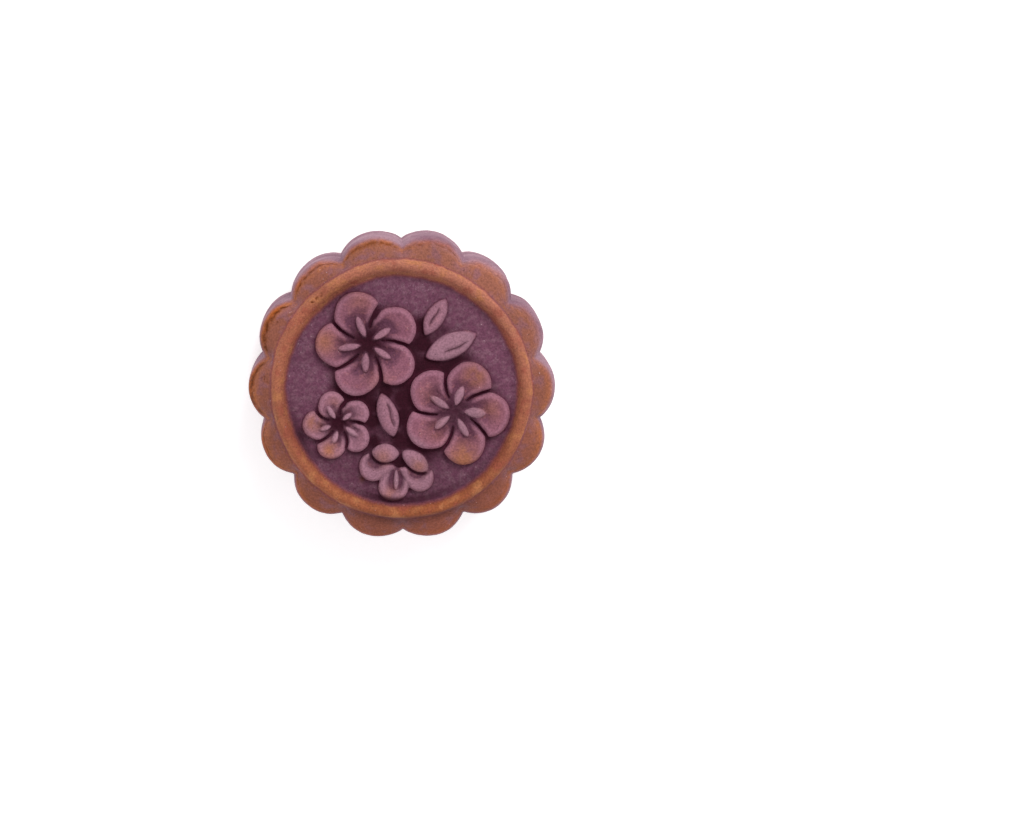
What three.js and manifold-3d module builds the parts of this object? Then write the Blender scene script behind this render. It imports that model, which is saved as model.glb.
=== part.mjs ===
// A whole baked mooncake: a round cake with a fluted edge, a raised ring on top, and flowers and
// leaves pressed inside the ring. It is one solid, in millimetres, with +Z up.
// The origin is the middle of the flat base. +Y runs through a notch between two lobes.
import * as THREE from 'three';
import { mergeVertices } from 'three/addons/utils/BufferGeometryUtils.js';
import Module from 'manifold-3d';

const wasm = await Module();
wasm.setup();

// Driving dimensions of the cake
const cakeWidth = 50; // across two opposite lobes
const cakeHeight = 26; // flat base to the crest of the ring
const lobeCount = 14;
const lobeRadius = 6.66; // of each round lobe of the edge
const lobeUnevenness = 0.15; // how far a lobe may stand in or out
const baseRounding = 1.1;
const shoulderDrop = 5; // from the ring's crest down to where the wall turns upright
const ringFootRadius = 21.3; // where the shoulder meets the ring
const ringCrestRadius = 20.1;
const fieldRadius = 18.3; // of the sunken round floor inside the ring
const reliefDepth = 1.9; // the floor lies this far below the ring's crest
const reliefInset = 0.1; // the highest petals stay this far below the ring's crest

// Driving dimensions of the pressed pattern
const petalHeadShare = 0.59; // a petal's round head, as a share of its distance from the middle
const petalHollow = 0.8; // bare floor round a flower's middle
const petalFall = 0.82; // how much of its height a petal has lost at the flower's middle
const petalFallCurve = 1.3; // above 1, most of that loss is near the middle
const petalTaper = { clockwise: 0.68, anticlockwise: 0.45 }; // how much each side is drawn in
const petalCorner = { height: 0.12, spread: 0.35 }; // of the clockwise side, as shares of the head
const stamenShares = { distance: 0.55, halfLength: 0.3, halfWidth: 0.1 }; // of the head's distance
const stamenSlope = 0.16; // in radians, rising outwards
const leafRiseShare = 0.9; // a leaf's height, as a share of a petal's
const vein = { lengthShare: 0.86, halfWidth: 0.27, depth: 0.38 };
const rooting = 0.5; // how deep each pressed form is sunk into the floor, so that it fuses

// Mesh fineness
const segmentsPerLobe = 8;
const petalSegments = 18;
const budSegments = [12, 8]; // round and along a closed petal or a leaf
const stamenSegments = [8, 6];

const outerRadius = cakeWidth / 2;
const lobeCentreRadius = outerRadius - lobeRadius;
const lobePitch = (2 * Math.PI) / lobeCount;
const floorHeight = cakeHeight - reliefDepth;
const petalRise = reliefDepth - reliefInset;
const rootHeight = floorHeight - rooting;

// Each flower: its middle, how far its petal heads lie from it, the angle of its first petal, and
// how far each stamen leans round from its petal's own line, in degrees.
const flowers = [
  { x: -5.6, y: 7.2, headDistance: 5.45, firstPetal: 36, leans: [2, -1, 5, 11, 6] },
  { x: 8.55, y: -3.75, headDistance: 5.4, firstPetal: -5, leans: [2, 9, 12, 7, 12] },
  { x: -10.4, y: -5.7, headDistance: 3.7, firstPetal: 36, leans: [6, 10, 15, 3, 7] },
];

// The bud is seen from the side: three open petals below two closed ones.
const bud = {
  x: -1.05,
  y: -12.6,
  openPetals: [
    { headDistance: 4.0, headRadius: 2.05, angle: 181 },
    { headDistance: 3.3, headRadius: 2.2, angle: 260 },
    { headDistance: 4.3, headRadius: 2.2, angle: 335 },
  ],
  closedPetals: [
    { x: -2.75, y: -10.3, halfLength: 2.3, halfWidth: 1.5, angle: -2 },
    { x: 2.05, y: -11.6, halfLength: 2.55, halfWidth: 1.4, angle: -35 },
  ],
  stamen: { x: -1.25, y: -14.7, halfLength: 1.45, halfWidth: 0.35, angle: 87, rise: 1.25 },
};

const leaves = [
  { x: 5.2, y: 11.4, halfLength: 3.5, halfWidth: 1.45, angle: 60 },
  { x: 7.6, y: 7.0, halfLength: 4.6, halfWidth: 1.8, angle: 25 },
  { x: -2.25, y: -4.15, halfLength: 3.8, halfWidth: 1.85, angle: 107 },
];

// The same sequence of numbers between 0 and 1 in every build.
function seededNumbers(seed) {
  let state = seed;
  return () => {
    state = (state * 16807) % 2147483647;
    return state / 2147483647;
  };
}

const nextNumber = seededNumbers(14);
const lobeOffsets = Array.from({ length: lobeCount }, () => lobeUnevenness * (2 * nextNumber() - 1));

// How far the fluted outline lies inside the circle round the lobes, at an angle about the axis.
function fluteDepth(angle) {
  const lobe = Math.round(angle / lobePitch);
  const fromLobe = angle - lobe * lobePitch;
  const across = lobeCentreRadius * Math.sin(fromLobe);
  const along = lobeCentreRadius * Math.cos(fromLobe) + Math.sqrt(lobeRadius ** 2 - across ** 2);
  const nearTip = Math.cos((Math.PI * fromLobe) / lobePitch) ** 2;
  return outerRadius - along - nearTip * lobeOffsets[(lobe + lobeCount) % lobeCount];
}

// A profile of [radius, height] pairs, turned about +Z.
function turned(profile, segments) {
  const points = profile.map(([radius, height]) => new THREE.Vector2(radius, height));
  return new THREE.LatheGeometry(points, segments).rotateX(Math.PI / 2);
}

// Moves every vertex of a geometry by a function of its place.
function reshaped(geometry, move) {
  const position = geometry.getAttribute('position');
  const point = new THREE.Vector3();
  for (let i = 0; i < position.count; i += 1) {
    point.fromBufferAttribute(position, i);
    move(point, i);
    position.setXYZ(i, point.x, point.y, point.z);
  }
  return geometry;
}

// A closed geometry as a solid that can be joined or cut.
function solid(geometry) {
  const bare = geometry.clone();
  bare.deleteAttribute('normal');
  bare.deleteAttribute('uv');
  const merged = mergeVertices(bare, 1e-4);
  const corners = merged.index.array;
  const kept = [];
  for (let i = 0; i < corners.length; i += 3) {
    const [a, b, c] = corners.slice(i, i + 3);
    if (a !== b && b !== c && c !== a) kept.push(a, b, c);
  }
  const vertProperties = new Float32Array(merged.getAttribute('position').array);
  return new wasm.Manifold(new wasm.Mesh({ numProp: 3, vertProperties, triVerts: new Uint32Array(kept) }));
}

// The fluted body with its shoulder, ring and sunken floor. Each station is a radius through a
// lobe's tip, a height, and how much of the fluting it takes: 1 is fully fluted and 0 is round.
function cakeBody() {
  const top = cakeHeight;
  const wallTop = cakeHeight - shoulderDrop;
  const stations = [
    [0, 0, 0],
    [outerRadius - baseRounding, 0, 1],
    [outerRadius - 0.35 * baseRounding, 0.3 * baseRounding, 1],
    [outerRadius - 0.1, baseRounding, 1],
    [outerRadius, 0.3 * cakeHeight, 1],
    [outerRadius - 0.15, wallTop, 1],
    [outerRadius - 0.4, wallTop + 0.9, 1],
    [outerRadius - 1, wallTop + 1.6, 0.95],
    [outerRadius - 2, wallTop + 2.3, 0.7],
    [outerRadius - 3, wallTop + 2.95, 0.25],
    [ringFootRadius, top - 1.75, 0],
    [ringFootRadius - 0.25, top - 0.7, 0],
    [ringCrestRadius + 0.65, top - 0.2, 0],
    [ringCrestRadius, top, 0],
    [ringCrestRadius - 0.6, top - 0.15, 0],
    [ringCrestRadius - 1, top - 0.6, 0],
    [fieldRadius + 0.45, top - 1.4, 0],
    [fieldRadius, floorHeight, 0],
    [0, floorHeight, 0],
  ];
  const body = turned(stations, lobeCount * segmentsPerLobe);
  return reshaped(body, (point, i) => {
    const radius = Math.hypot(point.x, point.y);
    const angle = Math.atan2(point.y, point.x);
    const fluting = stations[i % stations.length][2];
    const share = radius > 0 ? (radius - fluting * fluteDepth(angle)) / radius : 0;
    point.set(point.x * share, point.y * share, point.z);
  });
}

// One petal along +X from the flower's middle: a round dished head with a rounded rim, drawn in
// and falling away towards the middle. Its clockwise side stands out in a blunt corner.
function petal(headDistance, headRadius) {
  const profile = [
    [0, rootHeight],
    [0.97, rootHeight],
    [1, floorHeight + 0.45 * petalRise],
    [0.95, floorHeight + 0.8 * petalRise],
    [0.84, floorHeight + 0.98 * petalRise],
    [0.7, floorHeight + 0.97 * petalRise],
    [0.4, floorHeight + 0.83 * petalRise],
    [0, floorHeight + 0.78 * petalRise],
  ].map(([share, height]) => [share * headRadius, height]);
  const tip = headDistance + headRadius;
  const stretch = (headDistance - petalHollow) / headRadius;
  return reshaped(turned(profile, petalSegments), (point) => {
    const along = point.x / headRadius;
    const clockwise = point.y < 0;
    const taper = clockwise ? petalTaper.clockwise : petalTaper.anticlockwise;
    const corner = clockwise ? petalCorner.height * Math.exp(-((along / petalCorner.spread) ** 2)) : 0;
    point.x = headDistance + point.x * (along < 0 ? stretch : 1);
    point.y *= (1 - taper * Math.max(0, -along)) * (1 + corner);
    const left = 1 - petalFall * Math.max(0, 1 - point.x / tip) ** petalFallCurve;
    if (point.z > floorHeight) point.z = floorHeight + (point.z - floorHeight) * left;
  });
}

// A rounded grain lying flat, its length along +X.
function grain(halfLength, halfWidth, halfHeight, [roundSegments, lengthSegments]) {
  const sphere = new THREE.SphereGeometry(1, roundSegments, lengthSegments).rotateZ(Math.PI / 2);
  return sphere.scale(halfLength, halfWidth, halfHeight);
}

// A grain whose two ends come to a point, as a leaf's do.
function pointedGrain(halfLength, halfWidth, halfHeight) {
  return reshaped(grain(halfLength, halfWidth, halfHeight, budSegments), (point) => {
    const slim = Math.sqrt(Math.max(0, 1 - (point.x / halfLength) ** 2));
    point.y *= slim;
    point.z *= slim;
  });
}

// A geometry turned about the vertical by degrees, then placed.
function placed(geometry, degrees, x, y, z) {
  return geometry.rotateZ(THREE.MathUtils.degToRad(degrees)).translate(x, y, z);
}

// Petals round a flower's middle, each with a stamen lying down its slope.
function flowerSolids({ x, y, headDistance, firstPetal, leans }) {
  const distance = stamenShares.distance * headDistance;
  const halfLength = stamenShares.halfLength * headDistance;
  const halfWidth = stamenShares.halfWidth * headDistance;
  return leans.flatMap((lean, i) => {
    const angle = firstPetal + (360 / leans.length) * i;
    const stamen = grain(halfLength, halfWidth, 0.5, stamenSegments)
      .rotateY(-stamenSlope)
      .translate(distance, 0, floorHeight + 1);
    return [
      solid(placed(petal(headDistance, petalHeadShare * headDistance), angle, x, y, 0)),
      solid(placed(stamen, angle + lean, x, y, 0)),
    ];
  });
}

function budSolids() {
  const open = bud.openPetals.map(({ headDistance, headRadius, angle }) =>
    solid(placed(petal(headDistance, headRadius), angle, bud.x, bud.y, 0)),
  );
  const closed = bud.closedPetals.map(({ x, y, halfLength, halfWidth, angle }) =>
    solid(placed(grain(halfLength, halfWidth, petalRise, budSegments), angle, x, y, floorHeight)),
  );
  const { x, y, halfLength, halfWidth, angle, rise } = bud.stamen;
  const stamen = grain(halfLength, halfWidth, 0.4, stamenSegments);
  return [...open, ...closed, solid(placed(stamen, angle, x, y, floorHeight + rise))];
}

// A leaf is a pointed grain with a vein cut along its crest.
function leafSolid({ x, y, halfLength, halfWidth, angle }) {
  const leafRise = leafRiseShare * petalRise;
  const blade = pointedGrain(halfLength, halfWidth, leafRise);
  const groove = pointedGrain(vein.lengthShare * halfLength, vein.halfWidth, vein.depth);
  reshaped(groove, (point) => {
    point.z += leafRise * (1 - (point.x / halfLength) ** 2);
  });
  const [bladeSolid, grooveSolid] = [blade, groove].map((shape) =>
    solid(placed(shape, angle, x, y, floorHeight)),
  );
  return bladeSolid.subtract(grooveSolid);
}

const relief = [...flowers.flatMap(flowerSolids), ...budSolids(), ...leaves.map(leafSolid)];
const cake = wasm.Manifold.union([solid(cakeBody()), ...relief]);

// The uneven lobes shift the outline a little, so the finished cake is centred over its base.
function centred(geometry) {
  geometry.computeBoundingBox();
  const middle = geometry.boundingBox.getCenter(new THREE.Vector3());
  return geometry.translate(-middle.x, -middle.y, 0);
}

const { vertProperties, triVerts } = cake.getMesh();
const cakeGeometry = new THREE.BufferGeometry()
  .setAttribute('position', new THREE.BufferAttribute(vertProperties, 3))
  .setIndex(new THREE.BufferAttribute(triVerts, 1));

const bakedCrust = new THREE.MeshStandardMaterial({ color: '#8a5a5c', roughness: 0.75, metalness: 0 });
const mooncake = new THREE.Mesh(centred(cakeGeometry), bakedCrust);
mooncake.name = 'mooncake';

const part = new THREE.Group();
part.add(mooncake);

export default part;
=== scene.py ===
import math

import bpy
import numpy as np
from mathutils import Matrix, Vector


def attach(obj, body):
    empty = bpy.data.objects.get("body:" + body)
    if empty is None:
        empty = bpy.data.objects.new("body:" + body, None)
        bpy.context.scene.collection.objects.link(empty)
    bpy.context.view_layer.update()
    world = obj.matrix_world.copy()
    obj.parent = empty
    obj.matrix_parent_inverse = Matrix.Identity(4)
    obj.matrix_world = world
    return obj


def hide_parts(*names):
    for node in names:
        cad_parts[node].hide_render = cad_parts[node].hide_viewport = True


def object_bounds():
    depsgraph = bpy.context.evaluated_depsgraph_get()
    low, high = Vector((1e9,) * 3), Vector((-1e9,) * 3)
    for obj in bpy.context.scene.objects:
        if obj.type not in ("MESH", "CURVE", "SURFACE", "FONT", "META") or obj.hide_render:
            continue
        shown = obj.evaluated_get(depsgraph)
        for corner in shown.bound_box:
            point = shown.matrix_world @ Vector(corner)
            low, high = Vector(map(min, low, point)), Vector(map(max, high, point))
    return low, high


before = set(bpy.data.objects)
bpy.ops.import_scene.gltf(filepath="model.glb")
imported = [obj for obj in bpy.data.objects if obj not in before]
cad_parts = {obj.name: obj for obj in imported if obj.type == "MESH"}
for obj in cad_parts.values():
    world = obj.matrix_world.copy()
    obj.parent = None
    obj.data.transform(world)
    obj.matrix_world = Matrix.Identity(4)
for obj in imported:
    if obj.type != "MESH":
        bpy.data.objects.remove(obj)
cadLow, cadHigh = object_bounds()
print("frame loaded, cake is", [round(s * 1000, 2) for s in cadHigh - cadLow], "mm")

# The cake is modelled at 1 unit to 1 mm, and brought down to metres when its mesh is final.
perMetre = 1000


# Small helpers

def smoothStep(low, high, value):
    share = np.clip((value - low) / (high - low), 0, 1)
    return share * share * (3 - 2 * share)


def deselectAll():
    if bpy.context.mode != 'OBJECT':
        bpy.ops.object.mode_set(mode='OBJECT')
    bpy.ops.object.select_all(action='DESELECT')


def pick(*pieces):
    deselectAll()
    for piece in pieces:
        piece.select_set(True)
    bpy.context.view_layer.objects.active = pieces[0]


def readPoints(piece):
    points = np.zeros(len(piece.data.vertices) * 3)
    piece.data.vertices.foreach_get("co", points)
    return points.reshape(-1, 3)


def writePoints(piece, points):
    piece.data.vertices.foreach_set("co", points.ravel())
    piece.data.update()


def applyModifier(piece, kind, **settings):
    pick(piece)
    modifier = piece.modifiers.new(kind.title(), kind)
    for name, value in settings.items():
        setattr(modifier, name, value)
    bpy.ops.object.modifier_apply(modifier=modifier.name)


# The dough: a fluted drum pressed in a round mould

dough = {
    "height": (cadHigh.z - cadLow.z) * perMetre,
    "outerRadius": 25.0,
    "lobes": 14,
    "lobeRadius": 6.35,
    # how far each lobe's tip stands out or in, from +X round by +Y
    "lobeOffsets": [-0.12, -0.25, -0.26, 0.03, -0.09, -0.23, 0.05,
                    0.03, -0.22, -0.2, 0.01, -0.02, 0.04, 0],
    # and how far each notch does, from the one after the lobe at +X
    "notchOffsets": [-0.3, -0.4, 0.2, 0.28, 0.03, 0.16, -0.05,
                     0, -0.29, -0.15, 0.31, -0.2, 0, 0],
    "pointsPerLobe": 20,
    "fieldDepth": 1.9,  # the sunken floor inside the ring
    # radius in from the lobes' tips, and height up from the base
    "wall": [(0.95, 0), (0.5, 0.12), (0.22, 0.42), (0.06, 1.0), (0.02, 2.0), (0, 5.0), (0, 8.0),
             (0.04, 12.0), (0.07, 16.0)],
    # radius in from the lobes' tips, and drop below the ring's crest
    "shoulder": [(0.1, 6.9), (0.14, 6.1), (0.22, 5.45), (0.36, 4.85), (0.58, 4.3), (0.88, 3.8),
                 (1.25, 3.35), (1.7, 2.92), (2.2, 2.52), (2.75, 2.12), (3.3, 1.76), (3.75, 1.5),
                 (4.02, 1.34)],
    # the flutes run full up the wall and fade over the shoulder: drop below the crest, and share
    "flutingDrops": [1.38, 1.78, 2.5, 3.35, 4.3],
    "flutingShares": [0, 0.25, 0.68, 0.94, 1],
    # radius, and drop below the ring's crest
    "ring": [(20.86, 1.05), (20.76, 0.66), (20.58, 0.32), (20.34, 0.08), (20.04, 0), (19.68, 0.07),
             (19.34, 0.3), (19.04, 0.68), (18.78, 1.15), (18.48, 1.58), (18.15, 1.82), (17.8, 1.9)],
    # how far the ring lies out or in, by angle, and how far outside it that fades out
    "ringFade": 1.5,
    "ringAngles": [-180, -130, -90, -40, 0, 25, 50, 75, 100, 130, 180],
    "ringShifts": [0.2, 0, -0.05, -0.15, -0.05, -0.3, -0.42, -0.3, 0.12, 0.05, 0.2],
}

top = dough["height"]
fieldHeight = top - dough["fieldDepth"]
lobePitch = 2 * math.pi / dough["lobes"]


def turnAndReach(points):
    return np.arctan2(points[:, 1], points[:, 0]), np.hypot(points[:, 0], points[:, 1])


def fluteDepth(angle):
    # how far the fluted outline lies inside the circle round the lobes
    lobe = np.round(angle / lobePitch).astype(int)
    fromLobe = angle - lobe * lobePitch
    centreRadius = dough["outerRadius"] - dough["lobeRadius"]
    across = centreRadius * np.sin(fromLobe)
    along = centreRadius * np.cos(fromLobe) + np.sqrt(dough["lobeRadius"] ** 2 - across ** 2)
    nearTip = np.cos(math.pi * fromLobe / lobePitch) ** 2
    notch = np.floor(angle / lobePitch).astype(int)
    out = nearTip * np.array(dough["lobeOffsets"])[lobe % dough["lobes"]]
    out = out + (1 - nearTip) ** 3 * np.array(dough["notchOffsets"])[notch % dough["lobes"]]
    return dough["outerRadius"] - along - out


def flutingAt(height):
    return np.interp(top - height, dough["flutingDrops"], dough["flutingShares"])


def ringShift(angle):
    return np.interp(np.degrees(angle), dough["ringAngles"], dough["ringShifts"])


def extrudeTo(stations, radius, height):
    for nextRadius, nextHeight in stations:
        bpy.ops.mesh.extrude_region_move(TRANSFORM_OT_translate={"value": (0, 0, nextHeight - height)})
        ratio = nextRadius / radius
        bpy.ops.transform.resize(value=(ratio, ratio, 1), center_override=(0, 0, nextHeight))
        radius, height = nextRadius, nextHeight
    return radius, height


def makeDough():
    outer = dough["outerRadius"]
    wall = [(outer - inset, height) for inset, height in dough["wall"]]
    shoulder = [(outer - inset, top - drop) for inset, drop in dough["shoulder"]]
    ring = [(radius, top - drop) for radius, drop in dough["ring"]]
    deselectAll()
    bpy.ops.mesh.primitive_circle_add(vertices=dough["lobes"] * dough["pointsPerLobe"],
                                      radius=wall[0][0], fill_type='NGON')
    body = bpy.context.object
    body.name = "cakeDough"
    bpy.ops.object.mode_set(mode='EDIT')
    bpy.ops.mesh.select_all(action='SELECT')
    reached = extrudeTo(wall[1:] + shoulder, *wall[0])
    bpy.ops.object.mode_set(mode='OBJECT')
    points = readPoints(body)
    radius = np.hypot(points[:, 0], points[:, 1])
    depth = fluteDepth(np.arctan2(points[:, 1], points[:, 0])) * flutingAt(points[:, 2])
    points[:, :2] *= ((radius - depth) / radius)[:, None]
    writePoints(body, points)
    bpy.ops.object.mode_set(mode='EDIT')
    extrudeTo(ring, *reached)
    bpy.ops.mesh.select_all(action='SELECT')
    bpy.ops.mesh.normals_make_consistent(inside=False)
    bpy.ops.object.mode_set(mode='OBJECT')
    points = readPoints(body)
    angle, radius = turnAndReach(points)
    onRing = smoothStep(ring[0][0] + dough["ringFade"], ring[0][0], radius)
    onRing *= points[:, 2] > fieldHeight - 0.1
    points[:, :2] *= (1 + onRing * ringShift(angle) / radius)[:, None]
    writePoints(body, points)
    return body


# The pressed flowers: each petal is round on one side and runs out to a corner on the other

petals = {
    "rooting": 0.6,
    "gap": 0.34,  # dark slit between two petals, at its inner end
    "mouth": 0.5,  # and at its outer end
    "slitStart": 0.47,  # where the slits start, as a share of the heads' distance
    "swirl": 13,  # degrees that the slits' inner ends lie past the middle between two petals
    "bow": 0.3,  # how far a slit bends round the petal before it
    "flank": 1.3,  # radians from the corner to where the round head starts
    "bulge": 0.1,  # how far the round side swells towards the slit
    "points": 96,
    "ringShares": [0.985, 0.95, 0.9, 0.83, 0.75, 0.65, 0.54, 0.42, 0.29, 0.15],
    "edgeWidth": 0.95,  # rounded over towards the outline
    "edgeDrop": 0.95,
    "rimWidth": 1.7,
    "usualRadius": 3.25,
    # by distance from the flower's middle, as a share of the tip's distance: the height of the rims
    # above the floor, and how far the pocket between them lies below that
    "rims": [(0, 0.1), (0.12, 0.25), (0.25, 0.62), (0.4, 1.08), (0.55, 1.45), (0.7, 1.7), (0.85, 1.8),
             (1, 1.8)],
    "pocket": [(0, 0), (0.12, 0.1), (0.25, 0.36), (0.4, 0.66), (0.5, 0.78), (0.57, 0.68),
               (0.65, 0.36), (0.74, 0.24), (0.85, 0.2), (1, 0.18)],
}

# Each petal: its head's angle, distance and radius, then its corner's angle and distance
flowers = [
    {"x": -5.6, "y": 7.38, "petals": [(31.6, 5.32, 3.1, -1, 6.56), (112, 5.39, 3.26, 74.3, 6.64),
                                      (181.9, 5.08, 3.32, 149.5, 6.62), (251.2, 5.45, 3.25, 219.6, 6.8),
                                      (321.6, 5.54, 3.14, 291.7, 6.66)],
     "stamens": [(34, 2.76, 33, 1.7, 0.52), (111, 2.86, 112, 1.85, 0.55), (191, 3.0, 188, 1.92, 0.52),
                 (263.4, 3.04, 267, 1.65, 0.58), (326.6, 2.85, 328, 1.65, 0.52)]},
    {"x": 8.55, "y": -3.72, "petals": [(66.5, 5.24, 3.32, 33.7, 6.77), (140.4, 5.27, 3.27, 106.9, 6.6),
                                       (209.5, 5.2, 3.34, 178.7, 6.91), (283, 5.26, 3.36, 252.7, 6.5),
                                       (357, 5.44, 3.24, 322, 6.7)],
     "stamens": [(79, 2.66, 68, 1.75, 0.6), (149, 3.04, 146, 1.85, 0.54), (216, 2.7, 221, 1.62, 0.52),
                 (294, 2.7, 301, 1.72, 0.52), (358.7, 3.02, 356, 1.87, 0.72)]},
    {"x": -10.3, "y": -5.56, "petals": [(31.6, 3.42, 1.98, 1, 4.18), (111, 3.4, 2.09, 76.5, 3.9),
                                        (183, 3.64, 2.2, 151.3, 4.5), (250.5, 3.76, 2.14, 222.5, 4.7),
                                        (320, 3.7, 2.12, 289, 4.2)],
     "stamens": [(41, 1.8, 37, 0.95, 0.36), (121, 2.2, 121, 1.25, 0.4), (196.5, 2.2, 199, 1.0, 0.36),
                 (256, 2.2, 253, 1.13, 0.4), (329, 2.35, 325, 1.3, 0.42)]},
]


def polar(angle, distance):
    return np.array([math.cos(math.radians(angle)), math.sin(math.radians(angle))]) * distance


def bowedLine(start, end, steps=24):
    share = np.linspace(0, 1, steps)[:, None]
    aside = np.array([start[1] - end[1], end[0] - start[0]])
    aside *= petals["bow"] * 4 / max(np.hypot(*aside), 0.01)
    return start * (1 - share) + end * share + aside * share * (1 - share)


def petalOutline(flower, index):
    # seen from the middle of the petal's head, with the flower's outward direction along +X
    angle, reach, radius, corner, cornerReach = flower["petals"][index]
    count = len(flower["petals"])
    before, after = flower["petals"][index - 1], flower["petals"][(index + 1) % count]
    head = np.array([reach, 0])
    slitStart = petals["slitStart"] * reach
    halfGap = math.degrees(petals["gap"] / 2 / slitStart)
    toBefore = (before[0] - angle) % 360 - 360
    toAfter = (after[0] - angle) % 360
    ownSlit = polar(toBefore / 2 + petals["swirl"] + halfGap, slitStart) - head
    nextSlit = polar(toAfter / 2 + petals["swirl"] + halfGap, slitStart) - head
    ownCorner = polar(corner - angle, cornerReach) - head
    nextCorner = polar(after[3] - angle, after[4]) - head
    turns, reaches = turnAndReach(bowedLine(ownSlit, ownCorner))
    flankTurns = np.linspace(turns[-1] + 0.05, turns[-1] + petals["flank"], 20)
    toCorner = 1 - (flankTurns - turns[-1]) / petals["flank"]
    flankReaches = radius + (reaches[-1] - radius) * toCorner ** 1.2
    slitTurns, slitReaches = turnAndReach(bowedLine(nextSlit, nextCorner)[::-1])
    roundTurns = np.linspace(flankTurns[-1] + 0.02, slitTurns[-1], 60)
    swollen = radius * (1 + petals["bulge"] * smoothStep(1.0, 1.9, roundTurns))
    swollen = swollen + smoothStep(2.1, slitTurns[-1], roundTurns) * (slitReaches[-1] - radius)
    gaps = np.linspace(petals["mouth"], petals["gap"], len(slitTurns))
    upToSlit = np.interp(roundTurns, slitTurns, slitReaches - gaps, left=99)
    roundReaches = np.minimum(swollen, upToSlit)
    middle = reach - 0.35
    allTurns = np.concatenate([[-math.pi], turns, flankTurns, roundTurns, [math.pi]])
    allReaches = np.concatenate([[middle], reaches, flankReaches, roundReaches, [middle]])
    return allTurns, allReaches


def distanceTo(points, line):
    return np.sqrt(((points[:, None, :] - line[None, :, :]) ** 2).sum(axis=2)).min(axis=1)


def addDisc(name, ringShares):
    # a unit disc with a wall under it: ring on ring inside the outline
    deselectAll()
    bpy.ops.mesh.primitive_circle_add(vertices=petals["points"], radius=1, fill_type='NGON')
    disc = bpy.context.object
    disc.name = name
    bpy.ops.object.mode_set(mode='EDIT')
    bpy.ops.mesh.select_all(action='SELECT')
    bpy.ops.mesh.extrude_region_move(TRANSFORM_OT_translate={"value": (0, 0, 1)})
    inner = 1
    for share in ringShares:
        bpy.ops.mesh.inset(thickness=inner - share)
        inner = share
    bpy.ops.mesh.poke()
    bpy.ops.mesh.select_all(action='SELECT')
    bpy.ops.mesh.normals_make_consistent(inside=False)
    bpy.ops.object.mode_set(mode='OBJECT')
    points = readPoints(disc)
    share = np.minimum(np.hypot(points[:, 0], points[:, 1]), 1)
    return disc, share, np.arctan2(points[:, 1], points[:, 0]), points[:, 2] > 0.5


def placePetal(petal, owner, angle, x, y, z):
    turned = math.radians(angle)
    writePoints(petal, np.column_stack([
        owner["x"] + x * math.cos(turned) - y * math.sin(turned),
        owner["y"] + x * math.sin(turned) + y * math.cos(turned), z]))
    return petal


def makePetal(flower, index):
    angle, reach, radius, _, _ = flower["petals"][index]
    petal, share, turn, onTop = addDisc("petal", petals["ringShares"])
    outlineTurns, outlineReaches = petalOutline(flower, index)
    out = np.interp(turn, outlineTurns, outlineReaches)
    x, y = reach + share * out * np.cos(turn), share * out * np.sin(turn)
    edge = np.column_stack([reach + outlineReaches * np.cos(outlineTurns),
                            outlineReaches * np.sin(outlineTurns)])
    edge = edge[np.hypot(edge[:, 0], edge[:, 1]) > petals["slitStart"] * reach * 0.9]
    inward = distanceTo(np.column_stack([x, y]), edge)
    along = np.hypot(x, y) / (reach + radius)
    height = np.interp(along, *zip(*petals["rims"]))
    rimWidth = petals["rimWidth"] * radius / petals["usualRadius"]
    height -= np.interp(along, *zip(*petals["pocket"])) * smoothStep(0.35, rimWidth, inward)
    over = np.clip(1 - inward / petals["edgeWidth"], 0, 1)
    height -= np.minimum(petals["edgeDrop"], height * 0.75) * (1 - np.sqrt(1 - over ** 2))
    z = np.where(onTop, fieldHeight + height, fieldHeight - petals["rooting"])
    return placePetal(petal, flower, angle, x, y, z)


stamens = {
    "halfHeight": 0.62,
    "height": 0.75,  # of the axis above the floor
    "fullness": 1.22,
    "tilt": 8,  # the outer end stands higher
    "swelling": 0.18,  # the outer end is also broader
    "pointed": 0.3,
    "segments": 20,
    "rings": 12,
}


def makeGrain(x, y, z, halfLength, halfWidth, halfHeight, angle, tilt=0, swelling=0, fullness=1):
    deselectAll()
    bpy.ops.mesh.primitive_uv_sphere_add(segments=stamens["segments"], ring_count=stamens["rings"],
                                         radius=1, rotation=(0, math.pi / 2, 0))
    grain = bpy.context.object
    grain.name = "grain"
    bpy.ops.object.transform_apply(rotation=True)
    points = readPoints(grain)
    points[:, 1:] *= 1 + swelling * points[:, :1]
    points[:, 1] *= np.maximum(1 - points[:, 0] ** 2, 0) ** (stamens["pointed"] / 2)
    points[:, 2] = np.sign(points[:, 2]) * np.abs(points[:, 2]) ** fullness
    writePoints(grain, points)
    grain.scale = (halfLength, halfWidth, halfHeight)
    grain.rotation_euler = (0, -math.radians(tilt), math.radians(angle))
    grain.location = (x, y, z)
    bpy.ops.object.transform_apply()
    return grain


def makeFlower(flower):
    made = [makePetal(flower, index) for index in range(len(flower["petals"]))]
    for bearing, distance, angle, halfLength, halfWidth in flower["stamens"]:
        x, y = polar(bearing, distance)
        made.append(makeGrain(flower["x"] + x, flower["y"] + y, fieldHeight + stamens["height"],
                              halfLength, halfWidth * stamens["fullness"], stamens["halfHeight"],
                              angle, stamens["tilt"],
                              stamens["swelling"]))
    return made


# The bud: three open petals that share their rims, under two closed ones

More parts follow.
